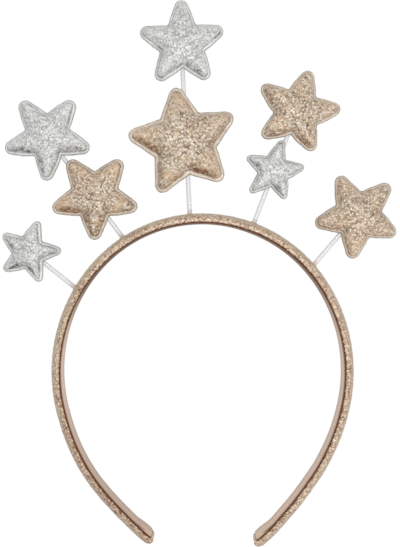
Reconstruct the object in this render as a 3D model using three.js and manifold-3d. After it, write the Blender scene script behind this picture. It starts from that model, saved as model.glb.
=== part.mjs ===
// Star headband: a fabric-covered hair band with padded glitter stars on clear stems.
// Millimetres. The headband lies on its back edge: X to the right, Y from the tips towards the
// stars, Z up to the front edge. The origin is under the middle of the crown.

import * as THREE from "three";
import { mergeVertices } from "three/addons/utils/BufferGeometryUtils.js";
import Module from "manifold-3d";

const wasm = await Module();
wasm.setup();

// Band: a strip on edge with a flat inner face and a domed outer face. Its path runs along the
// middle of the flat edges and follows tangent arcs from the crown down each side
const bandWidth = 12;
const bandInner = 1.05;
const bandEdgeFlat = 0.9;
const bandInnerRound = 0.4;
const bandDome = 2.2;
const bandDomeSegments = 8;
const bandArcs = [
  { part: "crown", radius: 61.4, turn: 55.7 },
  { part: "side", radius: 68.8, turn: 54.4 },
  { part: "leg", radius: 115.5, turn: 31.3 },
];
const turnPerStation = 4.6;

// Rounded tip: distance back from the end, and the share of width and thickness left there
const tipSections = [
  { back: 6.0, width: 1.0, thickness: 1.0 },
  { back: 3.0, width: 0.94, thickness: 1.0 },
  { back: 1.2, width: 0.8, thickness: 0.94 },
  { back: 0.0, width: 0.58, thickness: 0.66 },
];

// Lining: a thin strip on the inner face, a little narrower and shorter than the band
const liningThickness = 1.0;
const liningInset = 0.5;
const liningShort = 1.5;
const liningRound = 0.4;

// Clearance between pieces that are glued or sewn together
const gap = 0.3;

// Stems: rods glued into the band halfway across its width
const stemRadius = 1.0;
const stemSides = 12;
const stemLevel = bandWidth / 2;
const puckerBase = 3.0;
const puckerTop = 1.9;
const puckerHeight = 1.1;

// Foot is the distance along the band from the crown, carries the stars from the foot to the
// tip, and aside how far to the right of the last star's centre the tip points
const stems = [
  { name: "low_left", foot: -64.4, carries: ["low_left"], aside: 0 },
  { name: "left", foot: -34.9, carries: ["mid_left", "upper_left"], aside: 0 },
  { name: "centre", foot: -5.3, carries: ["centre", "top"], aside: -0.3 },
  { name: "right", foot: 21.9, carries: ["mid_right", "upper_right"], aside: 0 },
  { name: "low_right", foot: 52.9, carries: ["low_right"], aside: -0.4 },
];

// Stars: centre, tip radius, the notch's share of it, and turn clockwise in degrees
const stars = [
  { name: "low_left", glitter: "silver", x: -74.4, y: -14.0, radius: 13.7, notch: 0.555, turn: 14.6 },
  { name: "upper_left", glitter: "silver", x: -66.2, y: 34.9, radius: 19.1, notch: 0.555, turn: 34.8 },
  { name: "mid_left", glitter: "gold", x: -46.2, y: 9.7, radius: 18.9, notch: 0.58, turn: 36.0 },
  { name: "top", glitter: "silver", x: -8.7, y: 74.8, radius: 19.0, notch: 0.555, turn: -1.4 },
  { name: "centre", glitter: "gold", x: -7.9, y: 32.7, radius: 23.9, notch: 0.59, turn: -9.7 },
  { name: "upper_right", glitter: "gold", x: 40.6, y: 46.2, radius: 18.6, notch: 0.58, turn: 16.0 },
  { name: "mid_right", glitter: "silver", x: 30.5, y: 20.4, radius: 13.1, notch: 0.56, turn: 11.6 },
  { name: "low_right", glitter: "gold", x: 66.8, y: 1.7, radius: 19.0, notch: 0.57, turn: -27.8 },
];

// Star outline: straight edges that close on each tip at this angle to its axis
const starPoints = 5;
const edgeAngle = 21.4;
const tipSegments = 3;

// Star rim and pad: the pad's rise above the rim is a least value plus a share of the tip radius.
// Each ring has its share of the outline and of the rise, and how far it has relaxed from the
// star's outline to a circle of the relaxed reach
const rimThickness = 0.9;
const padRiseLeast = 1.0;
const padRiseShare = 0.18;
const padRings = [
  { reach: 0.86, rise: 0.0, relax: 0.0 },
  { reach: 0.81, rise: 0.38, relax: 0.0 },
  { reach: 0.67, rise: 0.7, relax: 0.08 },
  { reach: 0.43, rise: 0.92, relax: 0.35 },
];
const relaxedReach = 0.72;

const glitters = { gold: finish(0xc8ad8c, 0.5, 0.6), silver: finish(0xcdcdcb, 0.5, 0.6) };
const roseLining = finish(0xd7b4a0, 0.6, 0.2);
const clearPlastic = finish(0xeeeeee, 0.2, 0);

function finish(color, roughness, metalness) {
  return new THREE.MeshStandardMaterial({ color, roughness, metalness, flatShading: true });
}

const radians = THREE.MathUtils.degToRad;

// A unit direction in the XY plane, turned clockwise from +Y
function heading(angle) {
  return new THREE.Vector2(Math.sin(angle), Math.cos(angle));
}

// A closed surface through rings of equal length, with a fan over each end ring
function loft(rings) {
  const count = rings[0].length;
  const vertices = rings.flat();
  const triangles = [];
  for (let i = 0; i + 1 < rings.length; i += 1) {
    for (let j = 0; j < count; j += 1) {
      const a = i * count + j;
      const b = i * count + (j + 1) % count;
      triangles.push(a, b, b + count, a, b + count, a + count);
    }
  }
  const last = (rings.length - 1) * count;
  const first = vertices.push(middle(rings[0])) - 1;
  const end = vertices.push(middle(rings.at(-1))) - 1;
  for (let j = 0; j < count; j += 1) {
    const next = (j + 1) % count;
    triangles.push(first, next, j, end, last + j, last + next);
  }
  const geometry = new THREE.BufferGeometry().setFromPoints(vertices);
  geometry.setIndex(triangles);
  return geometry;
}

function middle(points) {
  const sum = points.reduce((total, point) => total.add(point), new THREE.Vector3());
  return sum.divideScalar(points.length);
}

// A closed three.js mesh as a solid that can be joined and cut
function toSolid(geometry) {
  const bare = geometry.clone();
  bare.deleteAttribute("normal");
  bare.deleteAttribute("uv");
  const merged = mergeVertices(bare, 1e-4);
  return new wasm.Manifold(new wasm.Mesh({
    numProp: 3,
    vertProperties: new Float32Array(merged.attributes.position.array),
    triVerts: new Uint32Array(merged.index.array),
  }));
}

function toGeometry(solid) {
  const mesh = solid.getMesh();
  const geometry = new THREE.BufferGeometry();
  geometry.setAttribute("position", new THREE.BufferAttribute(mesh.vertProperties, 3));
  geometry.setIndex(new THREE.BufferAttribute(mesh.triVerts, 1));
  return geometry;
}

function addMesh(group, name, geometry, material) {
  const mesh = new THREE.Mesh(geometry, material);
  mesh.name = name;
  group.add(mesh);
  return mesh;
}

// The band's path: the point and the outward direction at a distance from the crown
function bandAt(distance) {
  const centre = new THREE.Vector2();
  let left = Math.abs(distance);
  let angle = 0;
  let radius = 0;
  for (const arc of bandArcs) {
    centre.addScaledVector(heading(angle), radius - arc.radius);
    radius = arc.radius;
    const length = radius * radians(arc.turn);
    const along = arc === bandArcs.at(-1) ? left : Math.min(left, length);
    angle += along / radius;
    left -= along;
    if (left <= 0) break;
  }
  const outward = heading(angle);
  const point = centre.addScaledVector(outward, radius);
  if (distance < 0) {
    point.x = -point.x;
    outward.x = -outward.x;
  }
  return { point, outward };
}

function bandHalfLength() {
  return bandArcs.reduce((sum, arc) => sum + arc.radius * radians(arc.turn), 0);
}

// Distances from the crown along one side: a few degrees apart on each arc, then the tip
function sideStations(halfLength) {
  const tipStart = halfLength - tipSections[0].back;
  const distances = [];
  let start = 0;
  for (const arc of bandArcs) {
    const length = arc.radius * radians(arc.turn);
    const steps = Math.round(arc.turn / turnPerStation);
    for (let i = 1; i <= steps; i += 1) {
      distances.push(start + length * i / steps);
    }
    start += length;
  }
  const body = distances.filter((distance) => distance < tipStart - 2);
  return body.map((distance) => ({ distance, width: 1, thickness: 1 })).concat(
    tipSections.map((section) => ({ ...section, distance: halfLength - section.back })));
}

// Both sides and the crown in one row, from the left tip to the right tip
function bandStations(halfLength) {
  const right = sideStations(halfLength);
  const left = right.map((station) => ({ ...station, distance: -station.distance })).reverse();
  return [...left, { distance: 0, width: 1, thickness: 1 }, ...right];
}

// The band's section as outward offset and height: the dome, then the inner face
function bandSection(station) {
  const half = bandWidth / 2;
  const points = [];
  for (let i = 0; i <= bandDomeSegments; i += 1) {
    const angle = Math.PI * (i / bandDomeSegments - 0.5);
    points.push({ out: bandEdgeFlat / 2 + bandDome * Math.cos(angle), up: half * Math.sin(angle) });
  }
  points.push({ out: bandInnerRound - bandInner, up: half });
  points.push({ out: -bandInner, up: half - bandInnerRound });
  points.push({ out: -bandInner, up: bandInnerRound - half });
  points.push({ out: bandInnerRound - bandInner, up: -half });
  return points.map(({ out, up }) => ({ out: out * station.thickness, up: up * station.width }));
}

// The lining's section: a thin rectangle with chamfered corners behind the band's inner face
function liningSection(station) {
  const half = (bandWidth / 2 - liningInset) * station.width;
  const near = -bandInner - gap;
  const far = near - liningThickness;
  return [
    { out: near, up: liningRound - half },
    { out: near, up: half - liningRound },
    { out: near - liningRound, up: half },
    { out: far + liningRound, up: half },
    { out: far, up: half - liningRound },
    { out: far, up: liningRound - half },
    { out: far + liningRound, up: -half },
    { out: near - liningRound, up: -half },
  ];
}

// A section swept along the band from tip to tip
function sweptStrip(sectionAt, halfLength) {
  const rings = bandStations(halfLength).map((station) => {
    const { point, outward } = bandAt(station.distance);
    return sectionAt(station).map(({ out, up }) => {
      const place = point.clone().addScaledVector(outward, out);
      return new THREE.Vector3(place.x, place.y, bandWidth / 2 + up);
    });
  });
  return loft(rings);
}

// Each stem's straight line, from the band's path to its end star
function stemLine(stem) {
  const star = stars.find((candidate) => candidate.name === stem.carries.at(-1));
  const from = bandAt(stem.foot).point;
  const to = new THREE.Vector2(star.x + stem.aside, star.y);
  const along = to.clone().sub(from);
  return { from, length: along.length(), angle: Math.atan2(along.x, along.y) };
}

// A rod or cone on a stem's line, between two distances from its foot
function onStem(line, start, end, startRadius, endRadius) {
  const geometry = new THREE.CylinderGeometry(endRadius, startRadius, end - start, stemSides);
  const centre = line.from.clone().addScaledVector(heading(line.angle), (start + end) / 2);
  geometry.rotateZ(-line.angle);
  return geometry.translate(centre.x, centre.y, stemLevel);
}

function stemBore(stem) {
  const line = stemLine(stem);
  return onStem(line, -gap, line.length + gap, stemRadius + gap, stemRadius + gap);
}

function makeBand(group) {
  let solid = toSolid(sweptStrip(bandSection, bandHalfLength()));
  const puckerEnd = bandEdgeFlat / 2 + bandDome + puckerHeight;
  for (const stem of stems) {
    const pucker = onStem(stemLine(stem), 0, puckerEnd, puckerBase, puckerTop);
    solid = solid.add(toSolid(pucker)).subtract(toSolid(stemBore(stem)));
  }
  addMesh(group, "band", toGeometry(solid), glitters.gold);
}

function makeLining(group) {
  const strip = sweptStrip(liningSection, bandHalfLength() - liningShort);
  addMesh(group, "lining", strip, roseLining);
}

function makeStem(group, stem) {
  const line = stemLine(stem);
  const geometry = new THREE.CylinderGeometry(stemRadius, stemRadius, line.length, stemSides);
  const mesh = addMesh(group, "stem_" + stem.name, geometry, clearPlastic);
  const centre = line.from.clone().addScaledVector(heading(line.angle), line.length / 2);
  mesh.position.set(centre.x, centre.y, stemLevel);
  mesh.rotation.z = -line.angle;
}

// A star's outline: each tip an arc that touches both edges, each notch one point,
// anticlockwise with the first tip on +Y
function starOutline(star) {
  const halfStep = Math.PI / starPoints;
  const slope = radians(edgeAngle);
  const notch = star.radius * star.notch;
  const edgesMeet = notch * (Math.cos(halfStep) + Math.sin(halfStep) / Math.tan(slope));
  const tipRound = (edgesMeet - star.radius) / (1 / Math.sin(slope) - 1);
  const sweep = Math.PI / 2 - slope;
  const points = [];
  for (let tip = 0; tip < starPoints; tip += 1) {
    const axis = -2 * halfStep * tip;
    const centre = heading(axis).multiplyScalar(star.radius - tipRound);
    for (let i = 0; i <= tipSegments; i += 1) {
      const side = heading(axis + sweep * (1 - 2 * i / tipSegments));
      points.push(centre.clone().addScaledVector(side, tipRound));
    }
    points.push(heading(axis - halfStep).multiplyScalar(notch));
  }
  return points;
}

// One half of a padded star with its flat face down: the rim, then the pad up to its crown
function starHalf(star) {
  const outline = starOutline(star);
  const ringAt = (reach, relax, height) => outline.map((point) => {
    const length = THREE.MathUtils.lerp(point.length(), relaxedReach * star.radius, relax);
    const place = point.clone().setLength(reach * length);
    return new THREE.Vector3(place.x, place.y, height);
  });
  const padRise = padRiseLeast + padRiseShare * star.radius;
  const rings = [ringAt(1, 0, 0), ringAt(1, 0, rimThickness)];
  for (const ring of padRings) {
    rings.push(ringAt(ring.reach, ring.relax, rimThickness + ring.rise * padRise));
  }
  const geometry = loft(rings);
  const crown = geometry.attributes.position.count - 1;
  geometry.attributes.position.setZ(crown, rimThickness + padRise);
  return geometry;
}

// Two halves face to face: the stem lies in a groove in the back half, under the front half
function makeStar(group, star) {
  const place = new THREE.Group();
  place.position.set(star.x, star.y, stemLevel + stemRadius);
  place.rotation.z = -radians(star.turn);
  group.add(place);
  const front = addMesh(place, "star_" + star.name + "_front", starHalf(star), glitters[star.glitter]);
  front.position.z = gap;
  const back = addMesh(place, "star_" + star.name + "_back", starHalf(star), glitters[star.glitter]);
  back.rotation.y = Math.PI;
  back.updateWorldMatrix(true, false);
  const bore = stemBore(stems.find((stem) => stem.carries.includes(star.name)));
  bore.applyMatrix4(back.matrixWorld.clone().invert());
  back.geometry = toGeometry(toSolid(back.geometry).subtract(toSolid(bore)));
}

const headband = new THREE.Group();
makeBand(headband);
makeLining(headband);
stems.forEach((stem) => makeStem(headband, stem));
stars.forEach((star) => makeStar(headband, star));

export default headband;
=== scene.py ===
import bpy
import numpy as np
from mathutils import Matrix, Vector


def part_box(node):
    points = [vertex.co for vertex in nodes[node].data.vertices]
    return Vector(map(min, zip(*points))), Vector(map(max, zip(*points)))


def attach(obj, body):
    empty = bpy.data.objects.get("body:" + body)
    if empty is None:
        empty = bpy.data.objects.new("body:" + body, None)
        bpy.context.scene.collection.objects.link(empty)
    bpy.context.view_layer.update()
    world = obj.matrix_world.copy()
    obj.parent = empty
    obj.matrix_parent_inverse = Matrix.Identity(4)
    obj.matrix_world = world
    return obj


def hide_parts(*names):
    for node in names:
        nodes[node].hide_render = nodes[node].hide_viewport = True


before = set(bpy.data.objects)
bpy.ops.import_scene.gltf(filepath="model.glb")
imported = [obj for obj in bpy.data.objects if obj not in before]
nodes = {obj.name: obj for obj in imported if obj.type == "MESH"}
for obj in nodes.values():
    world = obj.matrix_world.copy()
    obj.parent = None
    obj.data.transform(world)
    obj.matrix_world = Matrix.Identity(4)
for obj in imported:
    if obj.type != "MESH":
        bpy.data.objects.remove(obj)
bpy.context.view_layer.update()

mm = 0.001                                   # the script works in millimetres, meshes are written in metres


# Small tools shared by every piece

def ease(low, high, value):                  # 0 at low, 1 at high, smooth between
    share = np.clip((value - low) / (high - low), 0, 1)
    return share * share * (3 - 2 * share)


def heading(angle):                          # unit direction turned clockwise from +Y
    return np.stack([np.sin(angle), np.cos(angle)], axis=-1)


# large odd factors that scatter whole numbers, and the bits that are kept
scatter = {"axes": [73856093, 19349663, 83492791], "seed": 2654435,
           "rounds": [(13, 1274126177), (16, 668265263)], "keep": 0x7FFFFFFF}


def speckle(cells, seed):                    # a fixed random number from -1 to 1 for each whole-number cell
    mixed = (cells.astype(np.int64) * scatter["axes"]).sum(axis=-1) + seed * scatter["seed"]
    mixed = mixed & scatter["keep"]
    for shift, factor in scatter["rounds"]:
        mixed = (mixed ^ (mixed >> shift)) * factor & scatter["keep"]
    return (mixed & 0xFFFFF) / 0x7FFFF - 1


def lumps(points, size, seed):               # random values on a cubic lattice, blended between its corners
    cell = points / size
    base = np.floor(cell)
    part = ease(0, 1, cell - base)
    total = 0
    for corner in np.ndindex(2, 2, 2):
        weight = np.prod(np.where(corner, part, 1 - part), axis=-1)
        total = total + weight * speckle(base + corner, seed)
    return total


def closedRings(rings):                      # rings joined by quads, with a pole over the first and last ring
    rows, columns = rings.shape[:2]
    poles = rings[[0, -1]].mean(axis=1)
    points = np.concatenate([rings.reshape(-1, 3), poles])
    here = np.arange(rows * columns).reshape(rows, columns)
    side = np.roll(here, -1, axis=1)
    quads = np.stack([here[:-1], side[:-1], side[1:], here[1:]], axis=-1).reshape(-1, 4)
    first = np.stack([side[0], here[0], np.full(columns, rows * columns)], axis=-1)
    last = np.stack([here[-1], side[-1], np.full(columns, rows * columns + 1)], axis=-1)
    return points, quads.tolist() + first.tolist() + last.tolist()


def newMesh(name, points, faces, scale=mm):
    mesh = bpy.data.meshes.new(name)
    mesh.from_pydata((points * scale).tolist(), [], faces)
    mesh.update()
    piece = bpy.data.objects.new(name, mesh)
    bpy.context.scene.collection.objects.link(piece)
    return piece


def readPoints(mesh, kind="co"):
    values = np.empty(len(mesh.vertices) * 3, np.float32)
    if kind == "co":
        mesh.vertices.foreach_get("co", values)
    else:
        mesh.vertex_normals.foreach_get("vector", values)
    return values.reshape(-1, 3).astype(float)


def nodePoints(name):                        # the different corners of a CAD node's loose triangles
    return np.unique(np.round(readPoints(nodes[name].data) / mm, 3), axis=0)


def writePoints(mesh, points):
    mesh.vertices.foreach_set("co", points.astype(np.float32).ravel())
    mesh.update()


def paintValue(piece, name, values):         # one number on each vertex, for the material to read
    layer = piece.data.attributes.new(name, "FLOAT", "POINT")
    layer.data.foreach_set("value", np.asarray(values, np.float32))


def dress(piece, material, stands, smooth):
    piece.data.materials.append(material)
    piece.data.polygons.foreach_set("use_smooth", np.full(len(piece.data.polygons), smooth))
    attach(piece, "root")
    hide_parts(*stands)


# Shader sockets that take part in plain arithmetic

class Wire:
    def __init__(self, finish, socket):
        self.finish = finish
        self.socket = socket

    def maths(self, operation, first, second):
        return self.finish.add("ShaderNodeMath", {"operation": operation}, {0: first, 1: second})

    def __add__(self, other):
        return self.maths("ADD", self, other)

    def __sub__(self, other):
        return self.maths("SUBTRACT", self, other)

    def __rsub__(self, other):
        return self.maths("SUBTRACT", other, self)

    def __mul__(self, other):
        return self.maths("MULTIPLY", self, other)

    __radd__ = __add__
    __rmul__ = __mul__

    def twin(self, output):                  # another output of the same node
        return Wire(self.finish, self.socket.node.outputs[output])


class Finish:
    def __init__(self, name):
        self.material = bpy.data.materials.new(name)
        self.material.use_nodes = True
        self.tree = self.material.node_tree
        self.tree.nodes.clear()

    def add(self, kind, settings=None, links=None, output=0):
        node = self.tree.nodes.new(kind)
        for key, value in (settings or {}).items():
            if key == "stops":
                self.setStops(node.color_ramp, value)
            else:
                setattr(node, key, value)
        for socket, value in (links or {}).items():
            if isinstance(value, Wire):
                self.tree.links.new(value.socket, node.inputs[socket])
            else:
                node.inputs[socket].default_value = value
        return Wire(self, node.outputs[output])

    def setStops(self, ramp, stops):
        while len(ramp.elements) < len(stops):
            ramp.elements.new(1)
        for element, (place, colour) in zip(ramp.elements, stops):
            element.position = place
            element.color = colour

    def blend(self, factor, first, second):  # the first colour at 0, the second at 1
        settings = {"data_type": "RGBA", "clamp_factor": True}
        return self.add("ShaderNodeMix", settings, {0: factor, 6: first, 7: second}, output=2)

    def attribute(self, name):
        return self.add("ShaderNodeAttribute", {"attribute_name": name}, output="Fac")

    def texture(self, kind, place, size, output=0):      # a pattern with cells about size mm wide
        return self.add(kind, None, {"Vector": place, "Scale": 1 / (size * mm)}, output)

    def close(self, surface):
        node = self.tree.nodes.new("ShaderNodeOutputMaterial")
        self.tree.links.new(surface.socket, node.inputs["Surface"])
        return self.material


def tint(red, green, blue):                  # a colour as seen on screen, 0 to 255, in linear light
    seen = np.array([red, green, blue]) / 255
    linear = np.where(seen <= 0.04045, seen / 12.92, ((seen + 0.055) / 1.055) ** 2.4)
    return (*[float(x) for x in linear], 1.0)


# Camera: straight above the headband, a little below the crown

camera = {"x": -0.99, "y": -23.53, "height": 366.0, "near": 10.0, "lens": 55.04, "sensor": 36.0}


def makeCamera():
    data = bpy.data.cameras.new("camera")
    data.lens = camera["lens"]
    data.sensor_width = camera["sensor"]
    data.clip_start = camera["near"] * mm
    eye = bpy.data.objects.new("camera", data)
    eye.location = (camera["x"] * mm, camera["y"] * mm, camera["height"] * mm)
    bpy.context.scene.collection.objects.link(eye)
    bpy.context.scene.camera = eye
    print("camera placed")


# Studio: white floor that turns up into a wall, a soft key over the crown, a fill from low right, a dim sky

studio = {
    "floorReach": 2000, "floorBend": 1200, "bendSteps": 24, "floorSides": 96,
    "wallTop": 2400, "wallClear": 500, "floorGlow": 1.0,
    "keyPlace": (0, 42, 370), "keySize": 170, "keyWatts": 0.55,
    "fillPlace": (300, -260, 360), "fillSize": 240, "fillWatts": 0.5,
    "sky": 0.45,
}
white = (1.0, 1.0, 1.0, 1.0)


def makeFloor():
    # a disc whose edge turns up through a quarter circle into a low wall, open at the top
    reach, bend, top = studio["floorReach"], studio["floorBend"], studio["wallTop"]
    turn = np.linspace(0, np.pi / 2, studio["bendSteps"])
    away = np.concatenate([[1], reach + bend * np.sin(turn), [reach + bend]])
    tall = np.concatenate([[0], bend * (1 - np.cos(turn)), [top]])
    angle = np.linspace(0, 2 * np.pi, studio["floorSides"], endpoint=False)
    flat = heading(angle) * away[:, None, None]
    height = np.broadcast_to(tall[:, None, None], flat[..., :1].shape)
    points, faces = closedRings(np.concatenate([flat, height], axis=-1))
    floor = newMesh("floor", points[:-1], faces[:-len(angle)])
    finish = Finish("floor_white")
    place = finish.add("ShaderNodeTexCoord", output="Object")
    rise = finish.add("ShaderNodeSeparateXYZ", None, {0: place}, "Z")
    fade = finish.add("ShaderNodeMapRange", {"interpolation_type": "SMOOTHSTEP"}, {
        "Value": rise, "From Min": studio["wallClear"] * mm, "From Max": top * mm})
    dim = (studio["sky"], studio["sky"], studio["sky"], 1.0)
    glow = finish.blend(fade, white, dim)
    light = finish.add("ShaderNodeEmission", None, {"Color": glow, "Strength": studio["floorGlow"]})
    floor.data.materials.append(finish.close(light))


def makeStudio():
    makeFloor()
    for name in ("key", "fill"):
        data = bpy.data.lights.new(name, "AREA")
        data.size = studio[name + "Size"] * mm
        data.energy = studio[name + "Watts"]
        lamp = bpy.data.objects.new(name, data)
        place = np.array(studio[name + "Place"]) * mm
        lamp.location = place
        lamp.visible_camera = False
        lamp.rotation_euler = lampTurn(place)
        bpy.context.scene.collection.objects.link(lamp)
    world = bpy.data.worlds.new("studio")
    world.use_nodes = True
    ground = world.node_tree.nodes["Background"]
    ground.inputs["Color"].default_value = white
    ground.inputs["Strength"].default_value = studio["sky"]
    bpy.context.scene.world = world
    bpy.context.scene.view_settings.view_transform = "Standard"
    bpy.context.scene.cycles.use_denoising = False      # keeps single flakes crisp
    print("studio lit")


def lampTurn(place):                         # the lamp's -Z points from its place to the origin
    across = np.hypot(place[0], place[1])
    return (np.arctan2(across, place[2]), 0.0, np.arctan2(place[0], -place[1]))


# Glitter cloth: flakes of a few metal tones, paler on pressed rims, with painted shade in the folds and on
# shaded sides

glitters = {
    # fold is painted shade with dark seams; line is painted shade along star edges, and on the band a pale
    # stem collar and a painted highlight strip; on the band, rim is painted shade and reflection on the outer
    # face
    "gold": {
        "flake": 0.84, "drift": 7.0, "gap": 1.0,
        "tones": [(0.0, (106, 82, 60)), (0.2, (164, 140, 115)), (0.5, (204, 186, 165)),
                  (0.8, (236, 223, 206)), (1.0, (255, 254, 251))],
        "warm": (225, 186, 147), "cool": (210, 202, 182),
        "pit": (100, 76, 52), "rim": (233, 223, 208), "fold": (120, 76, 44), "line": (126, 113, 94),
    },
    "silver": {
        "flake": 0.82, "drift": 7.0, "gap": 0.75,
        "tones": [(0.0, (146, 146, 144)), (0.2, (188, 188, 185)), (0.5, (216, 216, 213)),
                  (0.8, (237, 237, 235)), (1.0, (255, 255, 255))],
        "warm": (226, 222, 220), "cool": (214, 219, 214),
        "pit": (108, 108, 106), "rim": (237, 237, 235), "fold": (88, 88, 86), "line": (132, 134, 132),
    },
    "band": {
        "flake": 0.82, "drift": 9.0, "gap": 1.0,
        "tones": [(0.0, (122, 92, 70)), (0.2, (176, 147, 122)), (0.5, (214, 191, 166)),
                  (0.8, (238, 219, 196)), (1.0, (255, 250, 236))],
        "warm": (224, 186, 166), "cool": (212, 193, 160),
        "pit": (96, 66, 44), "rim": (178, 162, 140), "fold": (129, 84, 53), "line": (236, 214, 198),
    },
}


# what the three cloths share: size of clumps, and how much each pattern and painted value counts
glitterMix = {
    "clump": 1.9, "metal": 0.2, "rough": 0.45,
    "pickTone": 0.8, "clumpTone": 0.5, "toneDown": 0.15,                     # place in the row of tones
    "driftHue": 1.4, "amberHue": 0.25, "calmHue": 0.25, "hueDown": 0.85,     # cool at 0, warm at 1
    "cast": 0.34, "calmCast": 0.28,                                          # strength of that cast
    "pitFrom": 0.4, "pitTo": 0.75, "pitClump": 2.0, "pitDown": 0.4,          # dark gaps between flakes
    "rimPit": 0.8, "calmPit": 0.4,                                           # how much fainter they are there
    "foldMost": 1.4, "foldPick": 0.9,                                        # painted shade in the folds, broken up by flakes
}


def glitterFinish(name, look):
    mix = glitterMix
    finish = Finish(name)
    place = finish.add("ShaderNodeTexCoord", output="Object")
    flakes = finish.texture("ShaderNodeTexVoronoi", place, look["flake"], "Color")
    pick = finish.add("ShaderNodeSeparateColor", None, {0: flakes})
    clump = finish.texture("ShaderNodeTexNoise", place, mix["clump"])
    drift = finish.texture("ShaderNodeTexNoise", place, look["drift"])
    calm = finish.attribute("calm")
    pressed = finish.attribute("rim")
    stops = [(share, tint(*colour)) for share, colour in look["tones"]]
    level = pick * mix["pickTone"] + clump * mix["clumpTone"] - mix["toneDown"]
    tone = finish.add("ShaderNodeValToRGB", {"stops": stops}, {0: level})
    hue = drift * mix["driftHue"] + pick.twin("Green") + finish.attribute("amber") * mix["amberHue"]
    hue = hue + calm * mix["calmHue"] - mix["hueDown"]
    cast = finish.blend(hue, tint(*look["cool"]), tint(*look["warm"]))
    tone = finish.blend(mix["cast"] + mix["calmCast"] * calm, tone, cast)
    # pale pressed rims on the stars; on the band this value paints shade and reflection on the outer face
    tone = finish.blend(pressed, tone, tint(*look["rim"]))
    gap = finish.add("ShaderNodeMapRange", {"interpolation_type": "SMOOTHSTEP"}, {
        "Value": flakes.twin("Distance"), "From Min": mix["pitFrom"], "From Max": mix["pitTo"]})
    pit = gap * (clump * mix["pitClump"] - mix["pitDown"])
    pit = pit * (1 - mix["rimPit"] * pressed) * (1 - mix["calmPit"] * calm)
    tone = finish.blend(pit * look["gap"], tone, tint(*look["pit"]))
    # painted shade along the stars' outer edges; on the band a pale collar round the stems and a painted
    # highlight strip
    tone = finish.blend(finish.attribute("line"), tone, tint(*look["line"]))
    # painted shade in folds, beside the band's lining and on shaded sides, with dark seams, broken up by
    # flakes
    broken = mix["foldMost"] - pick * mix["foldPick"]
    tone = finish.blend(finish.attribute("fold") * broken, tone, tint(*look["fold"]))
    surface = finish.add("ShaderNodeBsdfPrincipled", None, {
        "Base Color": tone, "Metallic": mix["metal"], "Roughness": mix["rough"]})
    return finish.close(surface)


# Band: the cover's section carried along tangent arcs from the crown down each side

band = {
    "arcs": [(61.4, 55.7), (68.8, 54.4), (115.5, 31.3)],   # radius and turn in degrees, crown to tip
    "width": 12.0, "inner": 1.75, "edge": 0.8, "dome": 3.1, "round": 0.4,
    "around": 58, "domeSteps": 60, "roundSteps": 8, "step": 0.4, "grain": 0.07, "gritSeed": 58,
    "tip": 6.0, "tipWidth": 0.45,            # where the width rounds off, and the share left at the end
    "blunt": 3.0, "tipThick": 0.15,          # the same for the thickness
    "shortLeft": 0.3, "shortRight": 0.45,    # both sides end a little sooner than the solid
    "footRise": 0.5, "footCore": 0.9, "footSpread": 0.45,   # the cloth gathered round each stem
    "tuck": 7.0,                             # how far the folded-in end reaches back from each tip
    "lip": 0.5, "lipBack": 2.35,             # how much further in it reaches at the lining's ends, and where
    # slight bends of each side: side (1 right, -1 left), from, to (mm from the crown) and shift outwards
    "bends": [(-1, 20, 60, -0.25), (-1, 118, 136, 0.45), (-1, 142, 176, -1.55),
              (1, 116, 134, 0.35), (1, 142, 156, -0.4), (1, 168, 180, 0.45)],
    # strengths of the painted tones: painted shade beside the lining, down the left side and on the outer
    # face, darker tucked-in ends, a painted highlight strip and a pale collar round the stems
    "creaseDark": 0.9, "tuckDark": 0.45, "leftShade": 0.2, "outerSidesShade": 0.09,
    "outerShadeAndReflection": 0.65, "footPale": 0.85, "stripHighlight": 0.4,
}


def bandLength():
    return sum(radius * np.radians(turn) for radius, turn in band["arcs"])


def bandAt(distance):                        # point on the path and outward direction, arc by arc
    left = np.abs(distance)
    centre = np.zeros(left.shape + (2,))
    angle = np.zeros(left.shape)
    last = np.zeros(left.shape)
    for index, (radius, turn) in enumerate(band["arcs"]):
        length = radius * np.radians(turn)
        along = left if index == len(band["arcs"]) - 1 else np.minimum(left, length)
        active = (left > 0) | (index == 0)
        centre = np.where(active[..., None], centre + heading(angle) * (last - radius)[..., None], centre)
        last = np.where(active, radius, last)
        angle = angle + np.where(active, along / radius, 0)
        left = left - along
    outward = heading(angle)
    point = centre + outward * last[..., None]
    flip = np.where(distance < 0, -1.0, 1.0)
    point[..., 0] *= flip
    outward[..., 0] *= flip
    return point, outward


def onBand(distance, out, up):
    # a point beside the path, from its outward offset and its height above the band's middle
    point, outward = bandAt(distance)
    for side, start, end, shift in band["bends"]:
        out = out + shift * ease(start, end, side * distance)
    place = point + outward * out[..., None]
    return np.concatenate([place, band["width"] / 2 + up[..., None]], axis=-1)


def coverSection(count):
    # half an ellipse for the dome, a flat edge, a small round and the flat inner face, evenly spaced
    half = band["width"] / 2
    swing = np.linspace(-np.pi / 2, np.pi / 2, band["domeSteps"])
    dome = np.stack([band["dome"] * np.cos(swing) - band["edge"], half * np.sin(swing)], axis=-1)
    turn = np.linspace(0, np.pi / 2, band["roundSteps"])
    corner = np.stack([-band["inner"] + band["round"] * (1 - np.sin(turn)),
                       half - band["round"] * (1 - np.cos(turn))], axis=-1)
    lower = corner[::-1] * [1, -1]
    outline = np.concatenate([dome, corner, lower, dome[:1]])
    reach = np.concatenate([[0], np.cumsum(np.linalg.norm(np.diff(outline, axis=0), axis=1))])
    wanted = np.linspace(0, reach[-1], count, endpoint=False)
    return np.stack([np.interp(wanted, reach, outline[:, axis]) for axis in (0, 1)], axis=-1)


def sideStations(length, step):              # distances along the path, left below 0, and from the nearer tip
    start, end = band["shortLeft"] - length, length - band["shortRight"]
    stations = np.linspace(start, end, int(2 * length / step))
    return stations, np.minimum(end - stations, stations - start)


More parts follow.
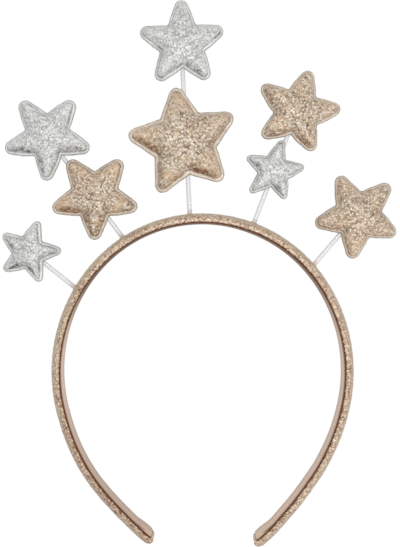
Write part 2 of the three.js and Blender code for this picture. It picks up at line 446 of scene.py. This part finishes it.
def roundOff(back, reach):                   # a quarter ellipse, 0 at the end and 1 from reach on
    return np.sqrt(1 - (1 - np.clip(back / reach, 0, 1)) ** 2)


def narrowing(back):                         # how the band's width rounds off towards a tip
    return band["tipWidth"] + (1 - band["tipWidth"]) * roundOff(back, band["tip"])


def makeCover():
    # the section, thinner and narrower towards each tip and drawn in past the lining's ends
    stations, back = sideStations(bandLength(), band["step"])
    section = coverSection(band["around"])
    across, upright = section[None, :, 0], section[None, :, 1]
    pastLining = ease(band["lipBack"], band["lipBack"] - 0.15, back)[:, None]
    lip = np.where(across < -0.5, band["lip"], 0) * pastLining
    share = band["tipThick"] + (1 - band["tipThick"]) * roundOff(back, band["blunt"])
    out = across * (1 + lip) * share[:, None]
    up = upright * narrowing(back)[:, None]
    rings = onBand(np.broadcast_to(stations[:, None], out.shape), out, up)
    points, faces = closedRings(rings)
    foot = gatherFeet(points)
    piece = newMesh("band_cover", points, faces)
    normals = readPoints(piece.data, "normal")
    grit = np.random.default_rng(band["gritSeed"]).uniform(-1, 1, len(points))
    rise = (lumps(points, 0.9, 11) * 1.2 + grit * 0.7) * band["grain"] + foot * band["footRise"]
    writePoints(piece.data, (points + normals * rise[:, None]) * mm)
    stations, back = [np.append(np.repeat(row, len(section)), row[[0, -1]]) for row in (stations, back)]
    paintCover(piece, points, stations, back, np.append(out.ravel(), [0, 0]), foot)
    dress(piece, glitterFinish("band_glitter", glitters["band"]), ["band"], False)
    print("cover swept,", len(points), "points")


def paintCover(piece, points, stations, back, out, foot):
    # painted shade beside the lining over the cover's dark fold edge, down the left side and on the outer
    # face at the sides; darker in the tucked-in ends; painted shade and reflection grey the outer face; pale
    # round the stems, with a painted highlight strip near the inner edge
    inward = -out + 0.16 * lumps(points, 1.1, 14)
    # the cover's dark fold edge beside the lining, deepened with painted shade
    crease = ease(band["inner"] - 0.65, band["inner"] - 0.15, inward)
    crease = crease * ease(band["lipBack"] - 0.25, band["lipBack"], back)
    tuck = ease(band["tuck"], 1, back) * ease(0, 0.7, lumps(points, 2.2, 15))
    outer = ease(60, 80, np.abs(stations)) * ease(0.5, -0.5, inward)
    # painted shade down the left side and on the outer face at the sides
    paintedSideShade = band["leftShade"] * ease(100, 150, -stations) + band["outerSidesShade"] * outer
    # a painted highlight strip near the inner edge
    strip = ease(0.4, 0.75, inward) * ease(1.4, 1.1, inward) * ease(0.1, 0.6, lumps(points, 2.4, 16))
    collar = ease(0.05, 0.4, foot)
    paintValue(piece, "fold", np.maximum(band["creaseDark"] * crease, band["tuckDark"] * tuck) + paintedSideShade)
    # painted shade and reflection: the outer face greyer and darker
    paintValue(piece, "rim", band["outerShadeAndReflection"] * ease(0.2, -1.4, inward))
    paintValue(piece, "line", np.maximum(band["footPale"] * collar, band["stripHighlight"] * strip))


def gatherFeet(points):                      # 1 on a stem's axis where it leaves the cover, 0 away from it
    foot = np.zeros(len(points))
    for name in stemNames:
        start, end = stemEnds(name)
        axis = (end - start) / np.linalg.norm(end - start)
        along = (points - start) @ axis
        aside = np.linalg.norm(points - start - along[:, None] * axis, axis=1)
        near = ease(-1.0, 0.5, along) * ease(8, 6, along)
        spread = np.maximum(aside - band["footCore"], 0) / band["footSpread"]
        foot = np.maximum(foot, near * np.exp(-spread ** 2))
    return foot


# Lining: a thin satin strip on the inner face

lining = {
    "thick": 0.5, "width": 10.4, "raise": 0.3, "short": 2.45, "seat": 1.83, "around": 48, "step": 0.5,
    "flare": 1.4, "flareLength": 10.0,       # how much thicker the folded ends are, and over what length
    "nose": 1.2, "noseThick": 0.75,          # where each end rounds off, and the share of thickness left
    "thinner": 0.4, "pressed": (-95, -60, 5, 25),    # the share pressed away, and where that starts and ends
    "drift": 14.0, "rough": 0.45, "coatIor": 1.45, "crownSheen": 0.4,
    "rose": (218, 180, 160), "tan": (202, 178, 150), "low": (162, 144, 127), "shade": (100, 76, 55),
    "seam": (108, 67, 40),
    # strengths of the painted tones: the dark seam edge with painted shade, painted shade towards the lower
    # edge, over the crown and down the left side
    "seamDark": 0.95, "lowDark": 0.8, "crownDark": 0.87, "crownTilt": 0.12, "leftShade": 0.13,
}


def liningFinish():
    finish = Finish("rose_satin")
    place = finish.add("ShaderNodeTexCoord", output="Object")
    drift = finish.texture("ShaderNodeTexNoise", place, lining["drift"])
    tone = finish.blend(drift * 2 - 0.5, tint(*lining["rose"]), tint(*lining["tan"]))
    # painted shade, greyer towards the lower edge
    tone = finish.blend(finish.attribute("low"), tone, tint(*lining["low"]))
    crown = finish.attribute("crown")
    # painted shade over the crown
    tone = finish.blend(crown, tone, tint(*lining["shade"]))
    # the dark seam edge next to the cover, deepened with painted shade
    tone = finish.blend(finish.attribute("seam"), tone, tint(*lining["seam"]))
    sheen = finish.add("ShaderNodeMapRange", None, {
        "Value": crown, "From Max": 0.75, "To Min": 1.0, "To Max": lining["crownSheen"]})
    surface = finish.add("ShaderNodeBsdfPrincipled", None, {       # all the gloss is in the coat
        "Base Color": tone, "Roughness": lining["rough"], "Specular IOR Level": 0.0,
        "Coat Weight": sheen, "Coat Roughness": lining["rough"], "Coat IOR": lining["coatIor"]})
    return finish.close(surface)


def signedPower(value, power):
    return np.sign(value) * np.abs(value) ** power


def makeLining():
    # a rounded rectangle as a superellipse, thickened towards the tips where the ends are folded in
    rows = sideStations(bandLength() - lining["short"], lining["step"])
    stations, back = [row[:, None] for row in rows]
    swing = np.linspace(0, 2 * np.pi, lining["around"], endpoint=False)
    inner = 1 - signedPower(np.cos(swing), 0.35)
    start, full, last, end = lining["pressed"]
    slim = 1 - lining["thinner"] * ease(start, full, stations) * ease(end, last, stations)
    flare = 1 + lining["flare"] * ease(lining["flareLength"], 3, back)
    nose = lining["noseThick"] + (1 - lining["noseThick"]) * roundOff(back, lining["nose"])
    depth = lining["thick"] * flare * nose / 2 * inner
    out = -lining["seat"] - depth * slim
    up = lining["width"] / 2 * signedPower(np.sin(swing), 0.12) * narrowing(back + lining["short"])
    rings = onBand(stations + 0 * out, out, up + lining["raise"])
    points, faces = closedRings(rings)
    piece = newMesh("lining_strip", points, faces)
    # painted shade down the left leg
    paintedSideShade = ease(105, 140, -stations)
    upper = ease(3.6, 4.9, up) * ease(2, 8, back)
    # painted shade over the crown, darker on the left
    crown = lining["crownDark"] - lining["crownTilt"] * np.tanh(stations / 40)
    crown = crown * ease(95, 50, np.abs(stations)) + lining["leftShade"] * paintedSideShade
    # seam: the dark edge next to the cover with painted shade; low: painted shade towards the lower edge
    shades = {"seam": lining["seamDark"] * np.maximum(ease(0.5, 0.35, depth), upper),
              "low": lining["lowDark"] * ease(2, -5, up - 2 * paintedSideShade),
              "crown": crown + 0 * out}
    for key, value in shades.items():
        paintValue(piece, key, np.append(value.ravel(), [0, 0]))
    dress(piece, liningFinish(), ["lining"], True)
    print("lining swept,", len(points), "points")


# Stems: clear plastic rods

stem = {"radius": 1.0, "sides": 24, "step": 0.5, "rough": 0.15, "ior": 1.45, "alpha": 0.75,
        "foot": 4.6, "footFade": 1.5,        # how far up the rod its cloudy foot reaches, and fades
        "clear": (244, 244, 248), "side": (206, 206, 210), "cloudy": (222, 208, 202)}
stemNames = ["low_left", "left", "centre", "right", "low_right"]


def stemFinish():
    finish = Finish("clear_rod")
    # side: painted shade along the rod's two sides
    tone = finish.blend(finish.attribute("side"), tint(*stem["clear"]), tint(*stem["side"]))
    tone = finish.blend(finish.attribute("foot"), tone, tint(*stem["cloudy"]))
    surface = finish.add("ShaderNodeBsdfPrincipled", None, {
        "Base Color": tone, "Roughness": stem["rough"], "IOR": stem["ior"], "Alpha": stem["alpha"]})
    return finish.close(surface)


def stemEnds(name):                          # the two ends of the CAD rod's axis, from its end caps
    points = nodePoints("stem_" + name)
    middle = points.mean(axis=0)
    axis = np.linalg.svd(points - middle)[2][0]
    axis = axis * np.sign(axis[1])
    along = (points - middle) @ axis
    return middle + axis * along.min(), middle + axis * along.max()


def makeStem(name, material):
    # a circle across the axis, carried from one end to the other
    start, end = stemEnds(name)
    length = np.linalg.norm(end - start)
    axis = (end - start) / length
    across = np.array([axis[1], -axis[0], 0])
    swing = np.linspace(0, 2 * np.pi, stem["sides"], endpoint=False)
    circle = np.cos(swing)[:, None] * across - np.sin(swing)[:, None] * np.array([0, 0, 1])
    along = np.linspace(0, length, int(length / stem["step"]))[:, None, None]
    rings = start + axis * along + circle * stem["radius"]
    points, faces = closedRings(rings)
    piece = newMesh("rod_" + name, points, faces)
    foot = ease(stem["foot"], stem["foot"] - stem["footFade"], along[..., 0]) + 0 * swing
    paintValue(piece, "foot", np.append(foot.ravel(), [1, 0]))
    # painted shade along the two sides of the rod, as seen from above
    side = np.abs(np.cos(swing)) ** 3 + 0 * along[..., 0]
    paintValue(piece, "side", np.append(side.ravel(), [0, 0]))
    dress(piece, material, ["stem_" + name], True)


# Stars: two padded faces sewn at a flat rim

starPoints = 5
armStep = 2 * np.pi / starPoints             # angle from one arm to the next
starLook = {"edgeAngle": 21.4, "rimHalf": 0.7, "edgeRound": 0.35, "notchSoft": 0.5,
            "around": 320, "rings": 70, "firstRing": 0.03, "crowding": 1.4,
            "padPower": 4, "padShoulder": 0.36,
            "tipGain": 1.0127,               # the solid's tips are three flats, with corners inside the arc
            "voxel": 0.5, "grain": 0.075, "wave": 0.2,
            "seamWidth": 0.3, "seamDepth": 0.2, "creaseDepth": 0.4, "shadeSide": (-0.5, -0.86),
            # strengths of the painted tones: painted shade in the creases, at the seam over its dark joint,
            # on the shaded side and along the outer edge; darker patches on the rim and the pale pressed rim
            "creaseShade": 0.85, "seamDark": 0.6, "shadeDark": 0.12, "edgeShade": 0.68, "patchDark": 0.3,
            "rimPale": 0.72}
# cloth is worked at 20 mm to the unit, and no point moves further than most
swelling = {"unit": 20.0, "start": 0.88, "pressure": 14.0, "quality": 3, "frames": 20, "most": 0.9}
# arms are counted clockwise from the top; stretch, lean, shift and pull (at the notches) are in mm,
# and a crease is an arm, its side (1 clockwise, -1 the other) and how dark its painted shade is
starArms = {
    "low_left": {"rim": 1.5, "stretch": (0.2, 0.2, -0.2, -0.5, -0.2), "lean": (0.5, 0.1, 0.1, 0.7, 0.4),
                 "narrow": 0.07, "shift": (0.0, -0.4), "pull": 0.3,
                 "creases": [(3, -1, 1.4), (2, 1, 1.3), (1, 1, 1.2), (4, -1, 0.8)]},
    "upper_left": {"rim": 1.4, "stretch": (-0.3, -0.3, -0.3, -0.1, -0.3), "lean": (0.4, -0.1, 0.7, 0.7, 0.1),
                   "narrow": 0.0, "shift": (-0.2, 0.2), "pull": 0.6,
                   "creases": [(3, -1, 0.9), (2, 1, 0.8), (1, 1, 0.6), (4, -1, 0.35)]},
    "mid_left": {"rim": 1.5, "stretch": (0.2, 0.2, 0.0, 0.1, 0.0), "lean": (0.2, -0.7, 0.0, 0.1, 0.0),
                 "narrow": 0.13, "shift": (0.0, 0.0), "pull": 0.4,
                 "creases": [(3, -1, 1.3), (2, 1, 1.1), (2, -1, 0.6), (4, -1, 0.4)]},
    "top": {"rim": 1.4, "stretch": (-0.1, -0.4, -0.6, -0.4, -0.1), "lean": (0.0, -0.2, 0.2, 0.0, 0.3),
            "narrow": 0.0, "shift": (0.1, 0.0), "pull": 0.4,
            "creases": [(2, 1, 0.45), (3, -1, 0.35), (4, -1, 0.3)]},
    "centre": {"rim": 1.85, "stretch": (-0.2, 0.1, -0.8, 0.1, 0.2), "lean": (0.3, -0.4, 0.0, 0.0, -0.3),
               "narrow": 0.28, "shift": (0.0, 0.1), "pull": 0.0,
               "creases": [(4, -1, 1.2), (2, 1, 1.1), (3, 1, 0.7), (3, -1, 0.4), (1, 1, 0.5), (0, 1, 0.3)]},
    "upper_right": {"rim": 1.3, "stretch": (-0.3, 0.0, -0.5, -0.1, 0.2), "lean": (0.2, -0.5, -0.5, 0.7, 0.6),
                    "narrow": 0.16, "shift": (0.1, -0.3), "pull": 0.7,
                    "creases": [(2, 1, 0.9), (4, -1, 0.5), (3, -1, 0.4)]},
    "mid_right": {"rim": 1.3, "stretch": (0.7, 0.0, -0.2, 0.6, 0.0), "lean": (0.9, -0.3, 0.5, 0.2, -0.4),
                  "narrow": 0.16, "shift": (0.2, 0.0), "pull": 0.4,
                  "creases": [(4, -1, 0.6), (2, 1, 0.4)]},
    "low_right": {"rim": 1.2, "stretch": (-0.1, 0.1, -0.9, -0.4, -0.3), "lean": (0.6, 0.4, 0.0, 0.0, -0.2),
                  "narrow": 0.1, "shift": (-0.1, -0.5), "pull": 0.4,
                  "creases": [(1, 1, 0.6), (2, -1, 0.5), (0, -1, 0.4)]},
}
starGlitter = {"low_left": "silver", "upper_left": "silver", "mid_left": "gold", "top": "silver",
               "centre": "gold", "upper_right": "gold", "mid_right": "silver", "low_right": "gold"}


def readStar(name):
    # centre, notch radius, tip radius and turn, from the CAD star's flat face
    points = nodePoints("star_" + name + "_front")
    flat = points[points[:, 2] < points[:, 2].min() + 0.05]
    centre = points[points[:, 2].argmax(), :2]
    away = flat[:, :2] - centre
    reach = np.linalg.norm(away, axis=1)
    reach[reach < 1] = np.inf
    notch = reach.min()
    corner = away[reach.argmin()]
    # a notch lies 36 degrees from the arm before it, and the turn is between -35 and 37 degrees
    turn = (np.arctan2(corner[0], corner[1]) - np.radians(1)) % np.radians(72) - np.radians(35)
    tip = reach[np.isfinite(reach)].max() * starLook["tipGain"]
    low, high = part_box("star_" + name + "_back")[0][2] / mm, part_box("star_" + name + "_front")[1][2] / mm
    return {**starArms[name], "centre": centre, "notch": notch, "tip": tip, "turn": turn,
            "low": low, "high": high}


def starLines(star):
    # the edges' slope, where they meet, the tip arc's radius and its centre
    slope = np.radians(starLook["edgeAngle"])
    meet = star["notch"] * (np.cos(armStep / 2) + np.sin(armStep / 2) / np.tan(slope))
    tipRound = (meet - star["tip"]) / (1 / np.sin(slope) - 1)
    return slope, meet, tipRound, star["tip"] - tipRound


def foldAngle(star, angle):                  # angle from the nearest tip, 0 to 36 degrees
    return np.abs((angle - star["turn"] + armStep / 2) % armStep - armStep / 2)


def outlineReach(star, angle):
    # straight edges that close on the tip's axis, a round arc at the tip and a soft notch between neighbours
    slope, meet, tipRound, middle = starLines(star)
    fold = foldAngle(star, angle)
    far = armStep - fold
    edge = meet * np.tan(slope) / (np.sin(fold) + np.cos(fold) * np.tan(slope))
    other = meet * np.tan(slope) / (np.sin(far) + np.cos(far) * np.tan(slope))
    soft = starLook["notchSoft"]
    edge = soft * np.logaddexp(edge / soft, other / soft)
    arc = middle * np.cos(fold) + np.sqrt(np.maximum(tipRound ** 2 - (middle * np.sin(fold)) ** 2, 0))
    touch = np.arctan2(tipRound * np.cos(slope), middle + tipRound * np.sin(slope))
    return np.where(fold < touch, arc, edge)


def roomInside(star, flat):
    # distance in from the outline: to the straight edge, to the tip's arc or to the notch corner
    slope, meet, tipRound, middle = starLines(star)
    fold = foldAngle(star, np.arctan2(flat[..., 0], flat[..., 1]))
    reach = np.linalg.norm(flat[..., :2], axis=-1)
    ahead, beside = reach * np.cos(fold), reach * np.sin(fold)
    along = (meet - ahead) * np.cos(slope) + beside * np.sin(slope)
    notchAhead, notchBeside = star["notch"] * np.cos(armStep / 2), star["notch"] * np.sin(armStep / 2)
    notchAlong = (meet - notchAhead) * np.cos(slope) + notchBeside * np.sin(slope)
    room = (meet - ahead) * np.sin(slope) - beside * np.cos(slope)
    atTip = tipRound - np.hypot(ahead - middle, beside)
    atNotch = np.hypot(ahead - notchAhead, beside - notchBeside)
    room = np.where(along > notchAlong, atNotch, room)
    return np.where(along < tipRound / np.tan(slope), atTip, room)


def starRings(star, rise):
    # height over the flat rim: rise (1 - (1 - t)^power)^shoulder, with t from 0 at the seam to 1
    # at the centre; the rim's outer edge is round, and the back is the front turned over
    angle = np.linspace(0, 2 * np.pi, starLook["around"], endpoint=False)
    share = 1 - (1 - np.linspace(starLook["firstRing"], 1, starLook["rings"])) ** starLook["crowding"]
    flat = heading(angle) * (outlineReach(star, angle) * share[:, None])[..., None]
    room = np.maximum(roomInside(star, flat), 0)
    room[-1] = 0
    half, rim = starLook["rimHalf"], star["rim"]
    depth = roomInside(star, np.zeros((1, 2)))[0] - rim
    share = np.clip((room - rim) / depth, 0, 1)
    edge = 1 - np.clip(room / starLook["edgeRound"], 0, 1)
    pad = (1 - (1 - share) ** starLook["padPower"]) ** starLook["padShoulder"]
    tall = half * np.sqrt(1 - 0.9 * edge ** 2) + (rise - half) * pad
    front = np.concatenate([flat, tall[..., None]], axis=-1)
    return np.concatenate([front, front[::-1] * [1, 1, -1]])[:, ::-1]


def onArms(star, points):                    # each point's arm, how far along that arm and how far aside
    swing = np.arctan2(points[:, 0], points[:, 1]) - star["turn"] + armStep / 2
    reach = np.linalg.norm(points[:, :2], axis=1)
    arm = np.floor(swing / armStep).astype(int) % starPoints
    aside = swing % armStep - armStep / 2
    return arm, reach * np.cos(aside), reach * np.sin(aside)


def shapeArms(star, points):
    # notches are drawn in, and towards its tip each arm is drawn out, leans aside and narrows
    # by its own amounts
    reach = np.linalg.norm(points[:, :2], axis=1)
    fold = foldAngle(star, np.arctan2(points[:, 0], points[:, 1]))
    near = np.exp(-((armStep / 2 - fold) / np.radians(10)) ** 2) * ease(0.3, 1, reach / star["notch"])
    points = points.copy()
    points[:, :2] *= (1 - star["pull"] * near / np.maximum(reach, 1))[:, None]
    arm, ahead, beside = onArms(star, points)
    share = ease(0.5, 1.05, ahead / star["tip"])
    ahead = ahead + np.array(star["stretch"])[arm] * share
    beside = beside * (1 - star["narrow"] * share) + np.array(star["lean"])[arm] * share
    along = heading(arm * armStep + star["turn"])
    flat = along * ahead[:, None] + along[:, ::-1] * [1, -1] * beside[:, None]
    return np.concatenate([flat, points[:, 2:]], axis=1)


def creaseShadeMask(star, points, room):
    # painted shade of a broken fold along one flank of an arm: from the seam a few millimetres up,
    # and from the notch nearly to the tip
    arm, ahead, beside = onArms(star, points)
    rim, share = star["rim"], ahead / star["tip"]
    flank = ease(rim - 0.3, rim + 0.3, room) * ease(rim + 3.2, rim + 0.7, room)
    flank *= ease(0.3, 0.5, share) * ease(1.0, 0.75, share)
    patchy = 0.75 + 0.5 * lumps(points, 2.6, 41) + 0.5 * lumps(points, 1.1, 42)
    total = np.zeros(len(points))
    for creaseArm, side, dark in star["creases"]:
        total += dark * (arm == creaseArm) * ease(0.1, 1.2, beside * side)
    return np.clip(total * flank * patchy, 0, 1)


def evaluated(piece):                        # the piece's mesh with its modifiers worked in
    graph = bpy.context.evaluated_depsgraph_get()
    return bpy.data.meshes.new_from_object(piece.evaluated_get(graph))


def settle(piece):                           # puts that mesh in place of the piece's own
    before = piece.data
    piece.data = evaluated(piece)
    piece.modifiers.clear()
    bpy.data.meshes.remove(before)


def swell(piece, star):
    # cloth under pressure with the rim held, and each point's move cut to the most that is allowed
    unit = swelling["unit"]
    before = readPoints(piece.data) * unit
    held = np.flatnonzero(roomInside(star, before) < star["rim"] + 0.1)
    group = piece.vertex_groups.new(name="rim")
    group.add(held.tolist(), 1.0, "REPLACE")
    cloth = piece.modifiers.new("swell", "CLOTH")
    cloth.settings.quality = swelling["quality"]
    cloth.settings.use_pressure = True
    cloth.settings.uniform_pressure_force = swelling["pressure"]
    cloth.settings.effector_weights.gravity = 0
    cloth.settings.vertex_group_mass = "rim"
    cloth.point_cache.frame_end = swelling["frames"]
    for count in range(1, swelling["frames"] + 1):
        bpy.context.scene.frame_set(count)
    swollen = evaluated(piece)
    moved = readPoints(swollen) * unit - before
    bpy.data.meshes.remove(swollen)
    piece.modifiers.remove(cloth)
    length = np.linalg.norm(moved, axis=1, keepdims=True)
    print("   moved up to", round(float(length.max()), 2), "mm, mean", round(float(length.mean()), 2))
    moved *= np.minimum(1, swelling["most"] / np.maximum(length, 1e-9))
    writePoints(piece.data, (before + moved) / unit)


def padStar(name, star, rise):
    # the sewn shape remeshed evenly, swollen as cloth, subdivided and brought to its full height
    unit = swelling["unit"]
    points, faces = closedRings(starRings(star, rise * swelling["start"]))
    piece = newMesh("padded_star_" + name, points, faces, 1 / unit)
    even = piece.modifiers.new("even", "REMESH")
    even.voxel_size = starLook["voxel"] / unit
    settle(piece)
    swell(piece, star)
    finer = piece.modifiers.new("finer", "SUBSURF")
    finer.levels = finer.render_levels = 1
    settle(piece)
    piece.vertex_groups.clear()
    points = readPoints(piece.data) * unit
    points[:, 2] *= rise / np.abs(points[:, 2]).max()
    return piece, points


def makeStar(name, materials):
    star = readStar(name)
    piece, points = padStar(name, star, (star["high"] - star["low"]) / 2)
    room = roomInside(star, points)
    seam = np.exp(-((room - star["rim"]) / starLook["seamWidth"]) ** 2)
    onRim = ease(star["rim"] + 0.1, star["rim"] - 0.3, room)
    crease = creaseShadeMask(star, points, room)
    sunk = seam * starLook["seamDepth"] + crease * starLook["creaseDepth"]
    points[:, 2] -= np.sign(points[:, 2]) * sunk
    points[:, 2] += onRim * lumps(points * [1, 1, 0], 5.0, 31) * starLook["wave"]
    points = shapeArms(star, points)
    writePoints(piece.data, points)
    normals = readPoints(piece.data, "normal")
    reach = np.linalg.norm(points[:, :2], axis=1)
    grit = np.random.default_rng(len(points)).uniform(-1, 1, len(points))
    grain = (lumps(points, 1.0, 21) * 1.6 + grit * 0.6) * (1 - 0.5 * onRim)
    points = points + normals * (grain * starLook["grain"])[:, None]
    points = points + [*(star["centre"] + star["shift"]), (star["low"] + star["high"]) / 2]
    writePoints(piece.data, points * mm)
    marks = {"room": room, "reach": reach, "seam": seam, "onRim": onRim, "crease": crease}
    paintStar(piece, star, points, normals, marks)
    glitter = starGlitter[name]
    halves = ["star_" + name + "_front", "star_" + name + "_back"]
    dress(piece, materials[glitter], halves, False)
    print("star", name, len(points), "points")


def paintStar(piece, star, points, normals, marks):
    # a pale rim with painted shade along its outer edge and darker patches, a dark seam with painted shade,
    # painted shade in the folds and on the shaded side, warm flanks and calmer, warmer arms
    rim, room, onRim = star["rim"], marks["room"], marks["onRim"]
    shade = ease(0.1, 0.9, normals[:, :2] @ starLook["shadeSide"]) * ease(rim, rim + 1, room)
    shade *= 0.6 + 0.6 * lumps(points, 1.6, 43)
    creaseAndSideShade = starLook["creaseShade"] * marks["crease"] + starLook["shadeDark"] * shade
    seamJointAndShade = marks["seam"] * (0.7 + 0.6 * lumps(points, 3.0, 44))
    patch = onRim * ease(-0.1, 0.5, lumps(points, 4.5, 47))
    # painted shade along the rim's outer edge
    outer = ease(0.75, 0.3, room)
    flank = ease(0.1, 0.6, 1 - np.abs(normals[:, 2])) * (1 - onRim)
    calm = ease(0.35, 0.7, marks["reach"] / star["tip"]) * ease(-0.6, 0.4, lumps(points, 6.0, 46))
    paintValue(piece, "rim", starLook["rimPale"] * onRim)
    paintValue(piece, "fold", np.maximum(starLook["seamDark"] * seamJointAndShade, creaseAndSideShade))
    paintValue(piece, "line", np.maximum(starLook["edgeShade"] * outer, starLook["patchDark"] * patch))
    paintValue(piece, "amber", flank * (0.5 + 0.5 * lumps(points, 3.5, 45)))
    paintValue(piece, "calm", calm)


makeCamera()
makeStudio()
makeCover()
makeLining()
clearRod = stemFinish()
for stemName in stemNames:
    makeStem(stemName, clearRod)
starCloth = {key: glitterFinish(key + "_cloth", glitters[key]) for key in ("gold", "silver")}
for starName in starGlitter:
    makeStar(starName, starCloth)
